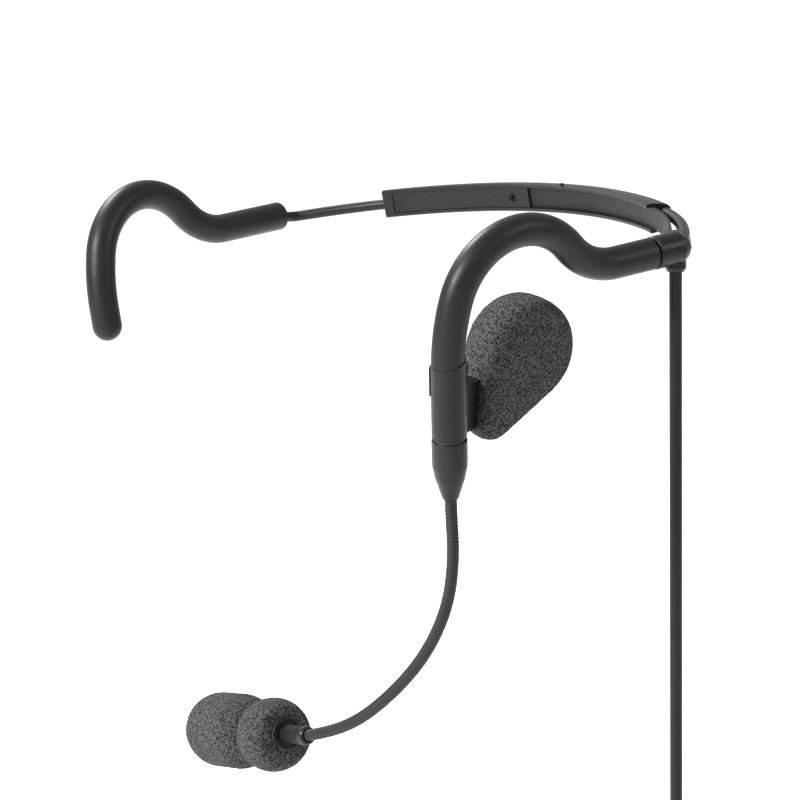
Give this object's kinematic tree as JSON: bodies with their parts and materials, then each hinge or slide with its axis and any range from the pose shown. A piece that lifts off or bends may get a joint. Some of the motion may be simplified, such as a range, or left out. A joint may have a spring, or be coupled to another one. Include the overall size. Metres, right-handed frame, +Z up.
{
  "type": "behind-the-head headset microphone",
  "caption": "Behind-the-head headset with a boom microphone on a gooseneck, a foam-covered ear speaker, an adjustable neckband and a cable with a plug.",
  "frame": {"origin": "midway between the saddles of the two ear hooks, the places under the tops of the arcs where the headset rests on the ears", "axes": "+Z up, the wearer faces -Y, +X is towards the wearer's left, where the boom, the ear speaker and the cable are"},
  "size_m": [0.1781, 0.122, 0.2766],
  "materials": {
    "soft_sleeve": "satin moulded soft plastic",
    "spring_steel": "drawn wire",
    "black_plastic": "satin moulded",
    "grained_plastic": "fine moulded grain",
    "coated_rod": "black coating over steel",
    "latch_metal": "dark plated",
    "black_screw": "black oxide",
    "gooseneck_skin": "fine spiral rib",
    "cable_jacket": "satin extruded jacket",
    "washer_plastic": "polished",
    "black_metal": "black satin",
    "capsule_metal": "turned",
    "foam": "open cell foam",
    "magnet": "plated ferrite",
    "film": "thin film",
    "copper_coil": "enamelled winding",
    "plug_metal": "nickel plated"
  },
  "bodies": {
    "head_frame": {"left_hook_sleeve": "soft_sleeve", "left_hook_spring_core": "spring_steel", "hook_core_crimp": "spring_steel", "hook_core_anchor": "black_plastic", "left_junction": "black_plastic", "cable_gland": "black_plastic", "adjuster_strap": "grained_plastic", "left_neck_rod": "coated_rod", "stem_outer_shell": "black_plastic", "stem_inner_shell": "black_plastic", "stem_latch_key": "latch_metal", "speaker_bracket": "black_plastic", "speaker_pivot_pin": "spring_steel", "cable_hanging_run": "cable_jacket", "cable_coil": "cable_jacket", "cable_plug_tail": "cable_jacket", "cable_tie": "black_plastic", "plug_strain_relief": "cable_jacket", "plug_grip": "black_plastic", "plug_sleeve_contact": "plug_metal", "plug_insulator": "washer_plastic", "plug_tip_contact": "plug_metal"},
    "neckband_slide": {"neckband_housing": "black_plastic", "neckband_cover": "grained_plastic", "cover_screw": "black_screw", "right_neck_rod": "coated_rod", "right_hook_sleeve": "soft_sleeve", "right_hook_spring_core": "spring_steel"},
    "ear_speaker": {"speaker_arm": "black_plastic", "speaker_back_shell": "black_plastic", "speaker_magnet": "magnet", "speaker_basket": "black_plastic", "speaker_voice_coil": "copper_coil", "speaker_diaphragm": "film", "speaker_grille": "black_plastic", "ear_foam_cover": "foam"},
    "boom": {"swivel_spindle": "spring_steel", "swivel_retaining_ring": "spring_steel", "swivel_friction_washer": "washer_plastic", "swivel_collar": "black_plastic", "boom_cone": "black_plastic", "gooseneck_upper": "gooseneck_skin", "mic_lead_upper": "cable_jacket"},
    "boom_middle": {"gooseneck_middle": "gooseneck_skin", "mic_lead_middle": "cable_jacket"},
    "boom_tip": {"gooseneck_lower": "gooseneck_skin", "mic_lead_lower": "cable_jacket", "mic_ferrule": "black_metal", "mic_rear_collar": "black_metal", "mic_capsule_tube": "black_metal", "mic_capsule": "capsule_metal", "mic_grille": "capsule_metal", "foam_windscreen": "foam"}
  },
  "joints": [
    {"name": "neckband_length", "type": "hinge", "parent": "head_frame", "child": "neckband_slide", "pos_m": [-0.0045, -0.025, -0.0239], "axis": [-0.0353, -0.1903, 0.9811], "range_deg": [0, 12]},
    {"name": "ear_speaker_swing", "type": "hinge", "parent": "head_frame", "child": "ear_speaker", "pos_m": [0.06531, -0.01234, -0.03246], "axis": [0.1553, -0.0188, 0.9877], "range_deg": [-12, 12]},
    {"name": "boom_swivel", "type": "hinge", "parent": "head_frame", "child": "boom", "pos_m": [0.0703, -0.0204, -0.0334], "axis": [0.14, -0.1362, 0.9807], "range_deg": [-20, 130]},
    {"name": "boom_bend_upper", "type": "hinge", "parent": "boom", "child": "boom_middle", "pos_m": [0.0603, -0.0162, -0.0995], "axis": [0, 1, 0], "range_deg": [-30, 30]},
    {"name": "boom_bend_lower", "type": "hinge", "parent": "boom_middle", "child": "boom_tip", "pos_m": [0.0353, -0.0162, -0.1256], "axis": [0, 1, 0], "range_deg": [-30, 30]}
  ]
}
